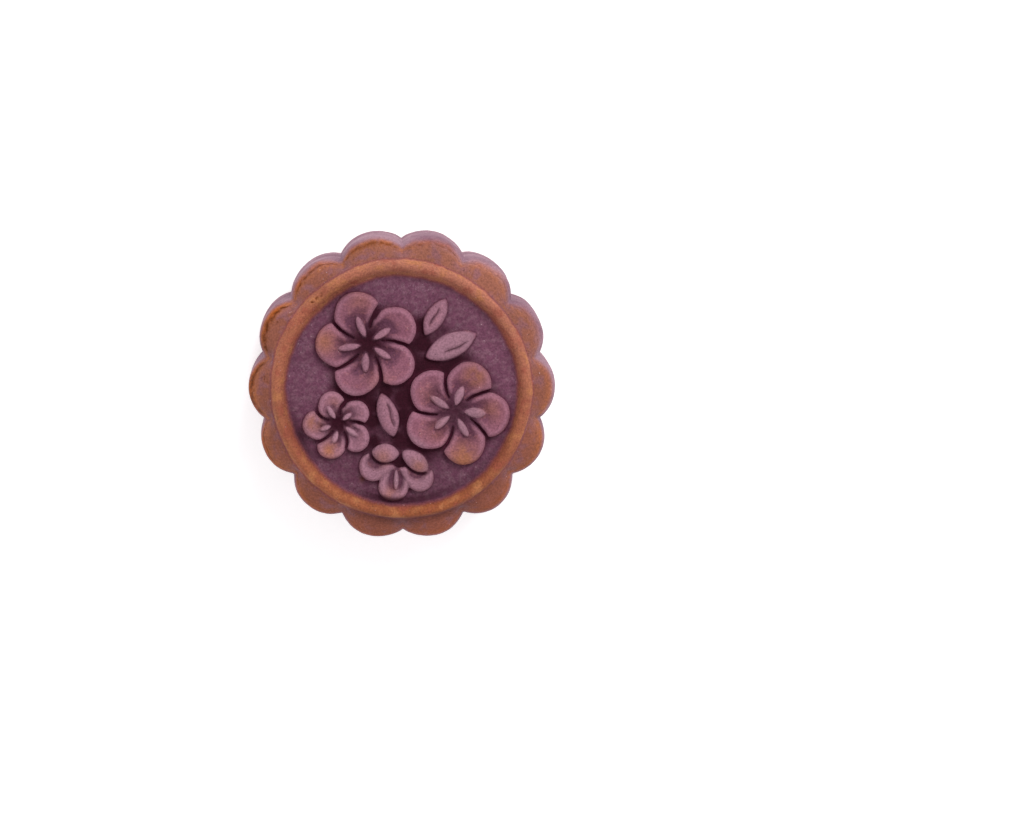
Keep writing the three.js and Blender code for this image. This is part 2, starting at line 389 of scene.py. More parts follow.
bud = {
    "x": -0.85,
    "y": -12.7,
    # each open petal: angle, distance, radius, and then its dish's place and radius
    "open": [(178, 4.0, 2.3, -4.5, -11.75, 0.95), (257, 3.1, 2.4, -1.25, -14.95, 1.2),
             (336, 3.9, 2.3, 2.1, -13.5, 0.95)],
    "closed": [(-2.8, -10.3, 2.3, 1.58, -3), (1.97, -11.6, 2.66, 1.46, -38)],
    "closedHeight": 1.75,
    "moat": 0.2,  # sunk all round the closed petals
    "stamen": (-1.12, -14.7, 1.65, 0.42, 88),
    "rimHeight": 1.5,
    "rimWidth": 0.8,
    "dish": 1.0,
    "dishSlope": 0.6,
    "dishStretch": 1.3,  # each dish is longer than it is wide
    "edgeDrop": 0.9,
    "rootShare": 0.55,  # how high a petal still stands at the bud's root
    "rootReach": 2.4,
    "moatDepth": 0.9,
}


def makeOpenPetal(angle, reach, radius, dishX, dishY, dishRadius):
    petal, share, turn, onTop = addDisc("openPetal", petals["ringShares"])
    tangent = math.pi / 2 + math.asin(radius / reach)

    def reachAt(turns):
        straight = radius / np.maximum(np.cos(np.abs(turns) - tangent), 0.2)
        return np.where(np.abs(turns) > tangent, np.minimum(straight, reach), radius)

    out = reachAt(turn)
    edgeTurns = np.linspace(-math.pi, math.pi, 240)
    edge = np.column_stack([np.cos(edgeTurns), np.sin(edgeTurns)]) * reachAt(edgeTurns)[:, None]
    spots = np.column_stack([np.cos(turn), np.sin(turn)]) * (share * out)[:, None]
    inward = distanceTo(spots, edge)
    over = np.clip(1 - inward / bud["rimWidth"], 0, 1)
    x, y = reach + share * out * np.cos(turn), share * out * np.sin(turn)
    dishAt = polar(angle, 1) @ [dishX - bud["x"], dishY - bud["y"]]
    dishAside = polar(angle + 90, 1) @ [dishX - bud["x"], dishY - bud["y"]]
    fromDish = np.hypot((x - dishAt) / bud["dishStretch"], y - dishAside)
    under = smoothStep(dishRadius + bud["dishSlope"], dishRadius - 0.3, fromDish)
    height = bud["rimHeight"] - bud["dish"] * under - bud["edgeDrop"] * (1 - np.sqrt(1 - over ** 2))
    height *= bud["rootShare"] + (1 - bud["rootShare"]) * smoothStep(0, bud["rootReach"], np.hypot(x, y))
    z = np.where(onTop, fieldHeight + height, fieldHeight - petals["rooting"])
    placePetal(petal, bud, angle, x, y, z)
    points = readPoints(petal)
    for middleX, middleY, halfLength, halfWidth, turned in bud["closed"]:
        along = polar(-turned, 1) @ [points[:, 0] - middleX, -(points[:, 1] - middleY)]
        across = polar(-turned, 1)[::-1] @ [points[:, 0] - middleX, points[:, 1] - middleY]
        nearness = np.hypot(along / (halfLength + bud["moat"]), across / (halfWidth + bud["moat"]))
        points[:, 2] -= np.where(onTop, smoothStep(1.12, 0.95, nearness) * bud["moatDepth"], 0)
    points[:, 2] = np.maximum(points[:, 2], fieldHeight - petals["rooting"])
    writePoints(petal, points)
    return petal


def makeBud():
    made = [makeOpenPetal(*petal) for petal in bud["open"]]
    for x, y, halfLength, halfWidth, angle in bud["closed"]:
        made.append(makeGrain(x, y, fieldHeight, halfLength, halfWidth, bud["closedHeight"], angle,
                              fullness=0.6))
    x, y, halfLength, halfWidth, angle = bud["stamen"]
    made.append(makeGrain(x, y, fieldHeight + 0.75, halfLength, halfWidth, 0.55, angle))
    return made


# The leaves: pointed, with a vein pressed beside the middle

leaves = {
    "places": [(5.25, 11.65, 3.55, 1.62, 60), (7.75, 7.0, 4.7, 2.12, 25), (-2.42, -4.2, 3.85, 1.75, 106)],
    "rise": 1.66,
    # each vein's middle and reach, as shares of its leaf's half length, and how far it lies beside the
    # middle line, as a share of its half width
    "veins": [(-0.02, 0.6, -0.06), (0.12, 0.56, 0.3), (0.0, 0.64, 0.3)],
    "veinHalfWidth": 0.15,
    "veinDepth": 0.4,
    "valleyHalfWidth": 0.55,
    "valleyDepth": 0.26,
    "segments": 96,
    "rings": 64,
}


def veinShare(along, across, halfWidth, vein, lineWidth):
    middle, reach, aside = vein
    aside = (across + aside + 0.05 * np.sin(8 * along)) * halfWidth / lineWidth
    return np.exp(-aside ** 2) * smoothStep(reach, reach - 0.3, np.abs(along - middle))


def makeLeaf(place, vein):
    x, y, halfLength, halfWidth, angle = place
    deselectAll()
    bpy.ops.mesh.primitive_uv_sphere_add(segments=leaves["segments"], ring_count=leaves["rings"],
                                         radius=1, rotation=(0, math.pi / 2, 0))
    leaf = bpy.context.object
    leaf.name = "leaf"
    bpy.ops.object.transform_apply(rotation=True)
    points = readPoints(leaf)
    along = points[:, 0]
    slim = np.sqrt(np.maximum(0, 1 - along ** 2)) ** 0.62
    points[:, 1] *= slim
    # flatter than a ball along the top, so the blade reads as pressed
    points[:, 2] = np.sign(points[:, 2]) * np.abs(points[:, 2]) ** 0.8 * slim ** 0.35
    sunk = leaves["veinDepth"] * veinShare(along, points[:, 1], halfWidth, vein, leaves["veinHalfWidth"])
    sunk += leaves["valleyDepth"] * veinShare(along, points[:, 1], halfWidth, vein, leaves["valleyHalfWidth"])
    points *= (halfLength, halfWidth, leaves["rise"])
    points[:, 2] -= np.where(points[:, 2] > 0, sunk, 0)
    writePoints(leaf, points)
    leaf.rotation_euler = (0, 0, math.radians(angle))
    leaf.location = (x, y, fieldHeight)
    bpy.ops.object.transform_apply()
    return leaf


# Pressing it all into one skin

skin = {
    "voxel": 0.13,
    "softening": 4,
    "triangles": 190000,
    "sway": 0.045,  # sideways unevenness of the pressed pattern
    "swaySize": 5.5,
    "swayDrops": (3.5, 2),  # below the crest, where it starts and where it is full
    "swayRadii": (20, 22),  # where it is last full, and where it ends
    "lumpSize": 5.0,
    "lumps": 0.12,
    "dimpleSize": 1.3,
    "dimples": 0.075,
}


def pressTogether(parts):
    pick(*parts)
    bpy.ops.object.join()
    cake = bpy.context.object
    cake.name = "mooncakeSkin"
    applyModifier(cake, 'REMESH', mode='VOXEL', voxel_size=skin["voxel"])
    applyModifier(cake, 'SMOOTH', factor=0.5, iterations=skin["softening"])
    print("one skin:", len(cake.data.vertices), "points")
    return cake


def centreOverBase(cake):
    points = readPoints(cake)
    low, high = points.min(axis=0), points.max(axis=0)
    points[:, :2] -= (low[:2] + high[:2]) / 2
    points[:, 2] -= low[2]
    writePoints(cake, points)


def sway(points, size, seed):
    # a smooth uneven shift across the cake, mostly between -1 and 1
    chance = np.random.default_rng(seed)
    total = np.zeros(len(points))
    for _ in range(7):
        heading = chance.uniform(0, 2 * math.pi)
        phase = chance.uniform(0, 2 * math.pi)
        wave = chance.uniform(0.7, 1.6)
        across = points[:, 0] * math.cos(heading) + points[:, 1] * math.sin(heading)
        total += np.sin(across * 2 * math.pi / (wave * size) + phase)
    return total / 2.6


def makeUneven(cake):
    points = readPoints(cake)
    lowDrop, highDrop = skin["swayDrops"]
    pressed = smoothStep(top - lowDrop, top - highDrop, points[:, 2])
    radius = np.hypot(points[:, 0], points[:, 1])
    shift = pressed * np.interp(radius, skin["swayRadii"], [skin["sway"], 0])
    shifts = [shift * sway(points, skin["swaySize"], seed) for seed in (21, 22)]
    points[:, 0] += shifts[0]
    points[:, 1] += shifts[1]
    writePoints(cake, points)
    for name, size, strength in (("doughLumps", skin["lumpSize"], skin["lumps"]),
                                 ("doughDimples", skin["dimpleSize"], skin["dimples"])):
        texture = bpy.data.textures.new(name, 'CLOUDS')
        texture.noise_scale = size
        texture.noise_depth = 1
        applyModifier(cake, 'DISPLACE', texture=texture, texture_coords='LOCAL', strength=strength,
                      mid_level=0.5)


# Where the oven has marked the skin, and where shade and highlights are painted on it. All of it is worked
# out from where a point of the skin lies.

marks = {
    # bounds of the parts of the top. Each pair gives where a part starts and where it is full:
    # drops below the crest, and radii
    "topDrops": (7.0, 5.6),
    "fieldRadii": (19.2, 18.2),
    "footInside": (16.9, 17.9),
    "footOutside": (19.0, 18.3),
    "ringInside": 1.3,  # past the band's start
    "ringOutside": (21.35, 20.65),
    "lobeRadii": (20.6, 21.3),
    "lobeEdgeInside": (2.2, 0.7),  # in from the lobes' edges
    "shadeInside": (20.3, 20.9),
    "shadeOutside": (22.8, 21.2),
    "bandWander": 0.15,  # how unevenly the ring's colour ends
    "undersideHeights": (1.6, 0.2),
    "lobeFacing": (0.02, 0.5),  # how much a lobe's skin faces up
    "notchRadii": (20.6, 21.6),
    "duskRadii": (5, 12),
    # how far a place lies under or over the skin around it
    "creaseDepths": (0.2, 0.85),
    "proudHeights": (0.02, 0.32),
    "enclosedDepths": (0.4, 0.85),
    "wideDepths": (0.3, 0.75),
    "raisedHeight": 1.8,
    "wallDrop": 4.2,
    "wallFade": 1.8,
    # burnt groove just inside the lobes' edges
    "grooveAngles": [-180, -150, -60, 60, 130, 155, 180],
    "grooveInside": [0.85, 0.85, 1.1, 1.15, 1.15, 1.1, 0.85],
    "grooveWander": 0.3,
    "grooveWidth": 0.2,
    "grooveDepth": 0.2,
    "scorchWidth": 0.47,
    # how brown the oven has left the ring and lobes round the cake, by angle, with painted shade making the
    # side away from the light darker
    "browningAndShadeAngles": [-180, -130, -70, -20, 30, 65, 95, 130, 180],
    "browningAndShadeShares": [0.6, 0.85, 1, 0.7, 0.28, 0.22, 0.2, 0.6, 0.6],
    # strength of the burning round the cake, by angle
    "burnAngles": [-180, -165, -120, -60, 0, 30, 62, 90, 125, 150, 180],
    "burnShares": [1, 0.8, 0.3, 0.15, 0.25, 0.3, 0.5, 0.65, 0.78, 1, 1],
    # how far up the wall's colour reaches over the lobes' edges, by angle
    "wallAngles": [-180, -90, -20, 20, 50, 75, 103, 128, 150, 180],
    "wallRises": [0, 0, 0.6, 1.85, 1.45, 1.8, 0.5, 1.25, 0, 0],
    # painted shade along the foot of the ring's inner side, by angle
    "footAngles": [-180, -155, -130, -105, -85, -60, -20, 0, 25, 50, 75, 100, 125, 155, 180],
    "footShares": [0.1, 0.85, 0.2, 0.8, 0.85, 0.5, 0.35, 0.15, 0.2, 0.35, 0.4, 0.1, 0.5, 0.2, 0.1],
    # shade along the ring's outer foot, by angle
    "shadeAngles": [-180, -125, -100, -75, -50, -20, 180],
    "shadeShares": [0, 0.1, 0.9, 1, 0.4, 0, 0],
    # where the ring's colour starts on its inner side, by angle
    "bandAngles": [-180, -130, -90, -50, 0, 50, 90, 130, 180],
    "bandStarts": [17.95, 18.05, 18.35, 18.2, 18.0, 18.0, 17.6, 17.65, 17.95],
    # a short crack on the ring
    "crackAt": (-13.8, 14.5),
    "crackAngle": 40,
    "crackHalfLength": 1.9,
    "crackHalfWidth": 0.17,
    "crackDepth": 0.28,
    # one lobe at the left is scorched right to its edge: angle, spread, and how far in and how wide
    "charred": (178, 8, 0.5, 0.5),
    # a small scorched spot on the floor beside the bud, and dark pits on the lobes:
    # x, y, radius, strength
    "pits": [(-6.5, -14.55, 0.5, 0.6), (-20.0, 10.8, 0.17, 0.8), (-19.6, 11.4, 0.14, 0.6),
             (-22.5, 1.85, 0.16, 0.8), (-22.1, 2.1, 0.14, 0.8), (-22.1, 1.6, 0.15, 0.8),
             (-21.7, 1.2, 0.17, 0.8), (-15.6, 17.0, 0.15, 0.6), (22.4, 5.2, 0.14, 0.6),
             (21.5, -7.4, 0.15, 0.6), (4.1, 22.3, 0.14, 0.6)],
    "pitDepth": 0.1,
    # paler parts: x, y, reach, share, and then the stamens of each flower
    "paleRounds": [(-10.3, -5.56, 6.2, 0.38), (-0.9, -13, 6.2, 0.62)],
    "paleStamens": [0.5, 0.85, 0.95],
    "paleLeaves": [0.45, 0.8, 0.45],
    # painted shade in the middle of each flower: strength, and where it starts as a share of the flower's
    # radius
    "hearts": [(1, 0.64), (0.75, 0.5), (1, 0.7)],
    # dark hollows where the floor is shut in between the flowers, painted shade over dough that stayed darker
    # where moist: x, y, radius
    "hollows": [(1.2, 1.9, 2.5), (4.6, 4.2, 2.0), (3.1, 10, 1.7), (3.2, 7.3, 1.8),
                (0.4, -1.6, 2.2), (0.3, -4.6, 2.0), (-5.2, -2.6, 1.6), (-4.9, -5.2, 1.5),
                (-0.4, -8.3, 1.7), (-4.6, -8.4, 1.2), (-8.3, -0.9, 1.1), (2.8, -8.8, 1.2),
                (-2.6, -0.3, 1.5), (9.3, 2.9, 1.0), (-0.4, -11.9, 1.1)],
    "hollowHeights": (0.9, 0.3),  # above the floor, where the dark starts and where it is full
    # painted shade: how much darker the floor is towards the ring, by angle
    "duskAngles": [-180, -130, -65, 0, 45, 65, 90, 120, 180],
    "duskShares": [0.12, 0.42, 0.28, 0, 0.12, 0.22, 0, 0.15, 0.12],
    # toasted spots on the highest petals: x, y, radius, strength
    "toasted": [(-12.6, 7.7, 1.9, 0.8), (11.7, 2.2, 1.8, 0.85), (14.4, -3.4, 1.6, 0.45),
                (9.8, -11.0, 2.2, 1.1), (-14.3, -5.3, 1.3, 0.8), (-11.7, -9.8, 1.3, 1),
                (2.6, -12.4, 1.2, 0.6), (-3.2, -10.9, 1.3, 0.5), (-10.9, -2.2, 1.2, 0.3),
                (-2.0, -17, 1.3, 0.5), (-6.7, 14.5, 2.0, 0.35), (-3.8, 1.2, 1.9, 0.3),
                (5.4, -6.8, 1.8, 0.3), (4.2, -1.0, 1.6, 0.2)],
}


def wander(angle, seed):
    # an uneven line round the cake, between -1 and 1
    phases = np.random.default_rng(seed).uniform(0, 2 * math.pi, 6)
    waves = [np.sin(count * angle + phase) / (index + 1.5)
             for index, (count, phase) in enumerate(zip((5, 13, 29, 47, 83, 131), phases))]
    return np.clip(sum(waves) / 1.3, -1, 1)


def insideEdge(points):
    angle = np.arctan2(points[:, 1], points[:, 0])
    radius = np.hypot(points[:, 0], points[:, 1])
    return dough["outerRadius"] - fluteDepth(angle) - radius, angle, radius


def burntLine(points):
    inside, angle, _ = insideEdge(points)
    middle = np.interp(np.degrees(angle), marks["grooveAngles"], marks["grooveInside"])
    middle = middle + marks["grooveWander"] * wander(angle, 3)
    share = np.interp(np.degrees(angle), marks["burnAngles"], marks["burnShares"])
    width = marks["grooveWidth"] * (1.1 + 0.9 * wander(angle, 4)) * (0.6 + 0.9 * share ** 2)
    line = np.exp(-((inside - middle) / width) ** 2)
    fromLobe = np.abs((angle / lobePitch + 0.5) % 1 - 0.5) * 2
    line *= smoothStep(0.98, 0.72, fromLobe)  # it fades out in the notches
    broken = smoothStep(-0.75, 0.25, wander(angle, 5) + 1.1 * share - 0.35)
    return line * share * broken * (points[:, 2] > top - 6.5)


def crackMask(points):
    x, y = marks["crackAt"]
    turned = math.radians(marks["crackAngle"])
    along = (points[:, 0] - x) * math.cos(turned) + (points[:, 1] - y) * math.sin(turned)
    across = (points[:, 1] - y) * math.cos(turned) - (points[:, 0] - x) * math.sin(turned)
    across = across - 0.15 * np.sin(along * 5)
    length = smoothStep(marks["crackHalfLength"], 0.3 * marks["crackHalfLength"], np.abs(along))
    length *= smoothStep(-0.5, 0.5, np.sin(along * 6.5) + 0.4 * np.sin(along * 15))
    return length * np.exp(-(across / marks["crackHalfWidth"]) ** 2) * (points[:, 2] > fieldHeight)


def pitMask(points):
    mask = np.zeros(len(points))
    for x, y, radius, strength in marks["pits"]:
        away = np.hypot(points[:, 0] - x, points[:, 1] - y) / radius
        mask = np.maximum(mask, strength * np.exp(-away ** 2))
    return mask * (points[:, 2] > top - 6.5)


def cutMarks(cake):
    points = readPoints(cake)
    points[:, 2] -= marks["grooveDepth"] * burntLine(points) + marks["crackDepth"] * crackMask(points)
    points[:, 2] -= marks["pitDepth"] * pitMask(points)
    writePoints(cake, points)


def tidyMesh(cake):
    # takes out the few faces that thinning leaves doubled or without area
    cake.data.validate()
    pick(cake)
    bpy.ops.object.mode_set(mode='EDIT')
    bpy.ops.mesh.select_all(action='SELECT')
    bpy.ops.mesh.remove_doubles(threshold=0.001)
    bpy.ops.mesh.dissolve_degenerate(threshold=0.001)
    bpy.ops.mesh.delete_loose()
    bpy.ops.mesh.select_all(action='SELECT')
    bpy.ops.mesh.normals_make_consistent(inside=False)
    bpy.ops.object.mode_set(mode='OBJECT')


def makeCake():
    parts = [makeDough()]
    print("dough pressed")
    for flower in flowers:
        parts += makeFlower(flower)
    parts += makeBud()
    parts += [makeLeaf(place, vein) for place, vein in zip(leaves["places"], leaves["veins"])]
    print("flowers, bud and leaves:", len(parts) - 1, "forms")
    cake = pressTogether(parts)
    centreOverBase(cake)
    makeUneven(cake)
    cutMarks(cake)
    triangles = sum(len(face.vertices) - 2 for face in cake.data.polygons)
    applyModifier(cake, 'DECIMATE', ratio=skin["triangles"] / triangles)
    tidyMesh(cake)
    print("skin thinned to", len(cake.data.polygons), "faces")
    return cake


cake = makeCake()


# Attributes that the skin's material reads

reliefGrid = {"half": 26, "step": 0.16, "outside": 6.0, "fine": 0.45, "wide": 1.5, "widest": 2.4,
              "flowersWithin": 18.3, "squaredReach": 640}


def blurred(grid, spread):
    waveX = np.fft.fftfreq(grid.shape[0])[:, None]
    waveY = np.fft.rfftfreq(grid.shape[1])[None, :]
    soft = np.exp(-2 * (math.pi * spread) ** 2 * (waveX ** 2 + waveY ** 2))
    return np.fft.irfft2(np.fft.rfft2(grid) * soft, s=grid.shape)


def readRelief(cake):
    # the skin's height seen from above, on an even grid
    count = int(2 * reliefGrid["half"] / reliefGrid["step"])
    heights = np.full((count, count), top - reliefGrid["outside"])
    places = (np.arange(count) + 0.5) * reliefGrid["step"] - reliefGrid["half"]
    for row, x in enumerate(places):
        for column, y in enumerate(places):
            if x * x + y * y < reliefGrid["squaredReach"]:
                struck, place, _, _ = cake.ray_cast(Vector((x, y, top + 5)), Vector((0, 0, -1)))
                if struck:
                    heights[row, column] = max(place.z, top - reliefGrid["outside"])
    return heights


def sampleGrid(grid, points):
    spot = (points[:, :2] + reliefGrid["half"]) / reliefGrid["step"] - 0.5
    corner = np.clip(np.floor(spot).astype(int), 0, grid.shape[0] - 2)
    share = np.clip(spot - corner, 0, 1)
    row, column = corner[:, 0], corner[:, 1]
    near = grid[row, column] * (1 - share[:, 0]) + grid[row + 1, column] * share[:, 0]
    far = grid[row, column + 1] * (1 - share[:, 0]) + grid[row + 1, column + 1] * share[:, 0]
    return near * (1 - share[:, 1]) + far * share[:, 1]


def storeShare(cake, name, values):
    attribute = cake.data.attributes.new(name, 'FLOAT', 'POINT')
    attribute.data.foreach_set("value", np.ascontiguousarray(values, dtype=np.float32))


def inOval(points, x, y, halfLength, halfWidth, angle):
    # place along and across an oval, as shares of its half length and half width
    along = ((points[:, :2] - (x, y)) @ polar(angle, 1)) / halfLength
    across = ((points[:, :2] - (x, y)) @ polar(angle + 90, 1)) / halfWidth
    return along, across


def paleShares(points):
    # stamens, leaves, the small flower and the bud are paler than the large petals
    pale, vein = np.zeros(len(points)), np.zeros(len(points))
    above = points[:, 2] - fieldHeight
    ovals = [(x, y, reach, reach, 0, share, 0.5) for x, y, reach, share in marks["paleRounds"]]
    for flower, share in zip(flowers, marks["paleStamens"]):
        for bearing, distance, angle, halfLength, halfWidth in flower["stamens"]:
            x, y = polar(bearing, distance)
            ovals.append((flower["x"] + x, flower["y"] + y, halfLength, halfWidth * 1.2, angle, share, 0.55))
    ovals.append((*bud["stamen"][:3], bud["stamen"][3] * 1.2, bud["stamen"][4], 0.9, 0.5))
    for place, line, share in zip(leaves["places"], leaves["veins"], marks["paleLeaves"]):
        ovals.append((*place, share, 0.6))
        along, across = inOval(points, *place)
        onLeaf = np.hypot(along, across) < 1
        vein = np.maximum(vein, onLeaf * veinShare(along, across, place[3], line, leaves["veinHalfWidth"]))
    for x, y, halfLength, halfWidth, angle, share, start in ovals:
        along, across = inOval(points, x, y, halfLength, halfWidth, angle)
        covered = smoothStep(1.1, 0.85, np.hypot(along, across)) * smoothStep(start, start + 0.45, above)
        pale = np.maximum(pale, covered * share)
    return pale, vein


def heartShares(points):
    # painted shade in the middle of each flower, between its stamens
    heart = np.zeros(len(points))
    for flower, (share, start) in zip(flowers, marks["hearts"]):
        away = np.hypot(points[:, 0] - flower["x"], points[:, 1] - flower["y"])
        size = flower["petals"][0][1] + flower["petals"][0][2]
        dark = share * smoothStep(start, 0.12, away / size)
        for bearing, distance, angle, halfLength, halfWidth in flower["stamens"]:
            x, y = polar(bearing, distance)
            place = inOval(points, flower["x"] + x, flower["y"] + y, halfLength, halfWidth * 1.15, angle)
            dark *= 1 - smoothStep(1.15, 0.75, np.hypot(*place))
        heart = np.maximum(heart, dark)
    return heart


def markSkin(cake):
    points = readPoints(cake)
    normals = np.zeros(len(points) * 3)
    cake.data.vertices.foreach_get("normal", normals)
    upward = normals.reshape(-1, 3)[:, 2]
    heights = readRelief(cake)
    step = reliefGrid["step"]
    places = (np.arange(len(heights)) + 0.5) * step - reliefGrid["half"]
    offMiddle = np.hypot(places[:, None], places[None, :])
    flowersOnly = np.where(offMiddle > reliefGrid["flowersWithin"], fieldHeight, heights)
    fine = sampleGrid(blurred(heights, reliefGrid["fine"] / step), points) - points[:, 2]
    wide = sampleGrid(blurred(flowersOnly, reliefGrid["wide"] / step), points) - points[:, 2]
    inside, angle, radius = insideEdge(points)
    lowDrop, highDrop = marks["topDrops"]
    onTop = smoothStep(top - lowDrop, top - highDrop, points[:, 2])
    shifted = radius - ringShift(angle)
    degrees = np.degrees(angle)
    inField = smoothStep(*marks["fieldRadii"], shifted) * onTop
    # painted shade in the slits and creases, darker than the skin just around them
    storeShare(cake, "creaseShade", smoothStep(*marks["creaseDepths"], fine) * inField)
    # painted highlight along the crests of the petals' rims
    storeShare(cake, "proudHighlight", smoothStep(*marks["proudHeights"], -fine) * onTop)
    foot = smoothStep(*marks["footInside"], shifted) * smoothStep(*marks["footOutside"], shifted)
    foot *= np.interp(degrees, marks["footAngles"], marks["footShares"]) * onTop
    enclosed = sampleGrid(blurred(flowersOnly, reliefGrid["widest"] / step), points) - points[:, 2]
    shadowed = np.maximum(smoothStep(*marks["enclosedDepths"], enclosed),
                          0.5 * smoothStep(*marks["wideDepths"], wide))
    dusk = np.interp(degrees, marks["duskAngles"], marks["duskShares"])
    dusk *= smoothStep(*marks["duskRadii"], radius)
    for x, y, reach in marks["hollows"]:
        away = np.hypot(points[:, 0] - x, points[:, 1] - y) / reach
        dusk = np.maximum(dusk, smoothStep(1.5, 0.6, away))
    dusk *= smoothStep(*marks["hollowHeights"], points[:, 2] - fieldHeight)
    # painted shade, over dough that stayed darker where moist: between the flowers, in their middles, along
    # the ring's inner foot and towards the ring
    sunken = np.maximum(np.maximum(shadowed, dusk) * inField, foot)
    storeShare(cake, "sunken", np.maximum(sunken, heartShares(points) * inField))
    # height above the floor; the petals' low parts take painted shade from it
    storeShare(cake, "raised", np.clip((points[:, 2] - fieldHeight) / marks["raisedHeight"], 0, 1) * inField)
    bandStart = np.interp(degrees, marks["bandAngles"], marks["bandStarts"])
    uneven = [shifted + marks["bandWander"] * wander(angle, seed) for seed in (6, 7)]
    ringBand = smoothStep(bandStart, bandStart + marks["ringInside"], uneven[0])
    storeShare(cake, "ring", ringBand * smoothStep(*marks["ringOutside"], uneven[1]) * onTop)
    lobeBand = smoothStep(*marks["lobeRadii"], shifted) * onTop * smoothStep(*marks["lobeFacing"], upward)
    storeShare(cake, "lobe", lobeBand)
    # painted shade along the ring's outer foot, laid on in the pore colour
    shade = np.interp(degrees, marks["shadeAngles"], marks["shadeShares"])
    shade = shade * smoothStep(*marks["shadeInside"], shifted) * smoothStep(*marks["shadeOutside"], shifted)
    storeShare(cake, "shade", shade * onTop)
    storeShare(cake, "lobeEdge", lobeBand * smoothStep(*marks["lobeEdgeInside"], inside))
    fromLobe = np.abs((angle / lobePitch + 0.5) % 1 - 0.5) * 2
    storeShare(cake, "notch", smoothStep(0.55, 0.95, fromLobe) * smoothStep(*marks["notchRadii"], radius))
    # partly browning, partly painted shade on the side away from the light
    storeShare(cake, "browningAndShade", np.interp(degrees, marks["browningAndShadeAngles"], marks["browningAndShadeShares"]))
    middle = np.interp(degrees, marks["grooveAngles"], marks["grooveInside"]) - 0.3
    middle = middle + marks["grooveWander"] * wander(angle, 3)
    scorched = np.exp(-((inside - middle) / marks["scorchWidth"]) ** 2) * smoothStep(0.95, 0.4, fromLobe)
    scorched *= np.interp(degrees, marks["burnAngles"], marks["burnShares"])
    charredAngle, spread, charredIn, width = marks["charred"]
    charred = np.exp(-((inside - charredIn) / width) ** 2
                     - ((np.abs(degrees) - charredAngle) / spread) ** 2)
    scorched = np.maximum(scorched * (0.75 + 0.5 * wander(angle, 8)), 1.15 * charred)
    storeShare(cake, "scorched", np.clip(scorched, 0, 1.15) * onTop)
    burnt = np.maximum(burntLine(points), np.maximum(0.9 * crackMask(points), pitMask(points)))
    burnt = np.maximum(burnt, 0.35 * charred * onTop)
    storeShare(cake, "burnt", burnt)
    toasted = sum(strength * np.exp(-((points[:, 0] - x) ** 2 + (points[:, 1] - y) ** 2) / size ** 2)
                  for x, y, size, strength in marks["toasted"])
    storeShare(cake, "toasted", np.minimum(toasted, 1) * inField)
    wallStart = top - marks["wallDrop"] + np.interp(degrees, marks["wallAngles"], marks["wallRises"])
    storeShare(cake, "wall", smoothStep(wallStart, wallStart - marks["wallFade"], points[:, 2]))
    storeShare(cake, "underside", smoothStep(*marks["undersideHeights"], points[:, 2]))
    pale, vein = paleShares(points)
    storeShare(cake, "pale", pale * inField)
    # painted shade along the leaves' vein grooves
    storeShare(cake, "vein", vein * inField)
    print("skin marked")


markSkin(cake)
cake.data.transform(Matrix.Scale(1 / perMetre, 4))
pick(cake)
bpy.ops.object.shade_smooth()

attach(cake, "root")
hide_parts("mooncake")


# Materials

def toLinear(hexColour):
    channels = [int(hexColour[i:i + 2], 16) / 255 for i in (1, 3, 5)]
    return (*(c / 12.92 if c <= 0.04045 else ((c + 0.055) / 1.055) ** 2.4 for c in channels), 1)


def addNode(tree, kind, settings=None, links=None, output=0):
    # settings are the node's own or its sockets' values; links give each socket its source
    node = tree.nodes.new(kind)
    for name, value in (settings or {}).items():
        if isinstance(name, str) and hasattr(node, name):
            setattr(node, name, value)
        else:
            node.inputs[name].default_value = value
    for name, source in (links or {}).items():
        tree.links.new(source, node.inputs[name])
    return node.outputs[output]


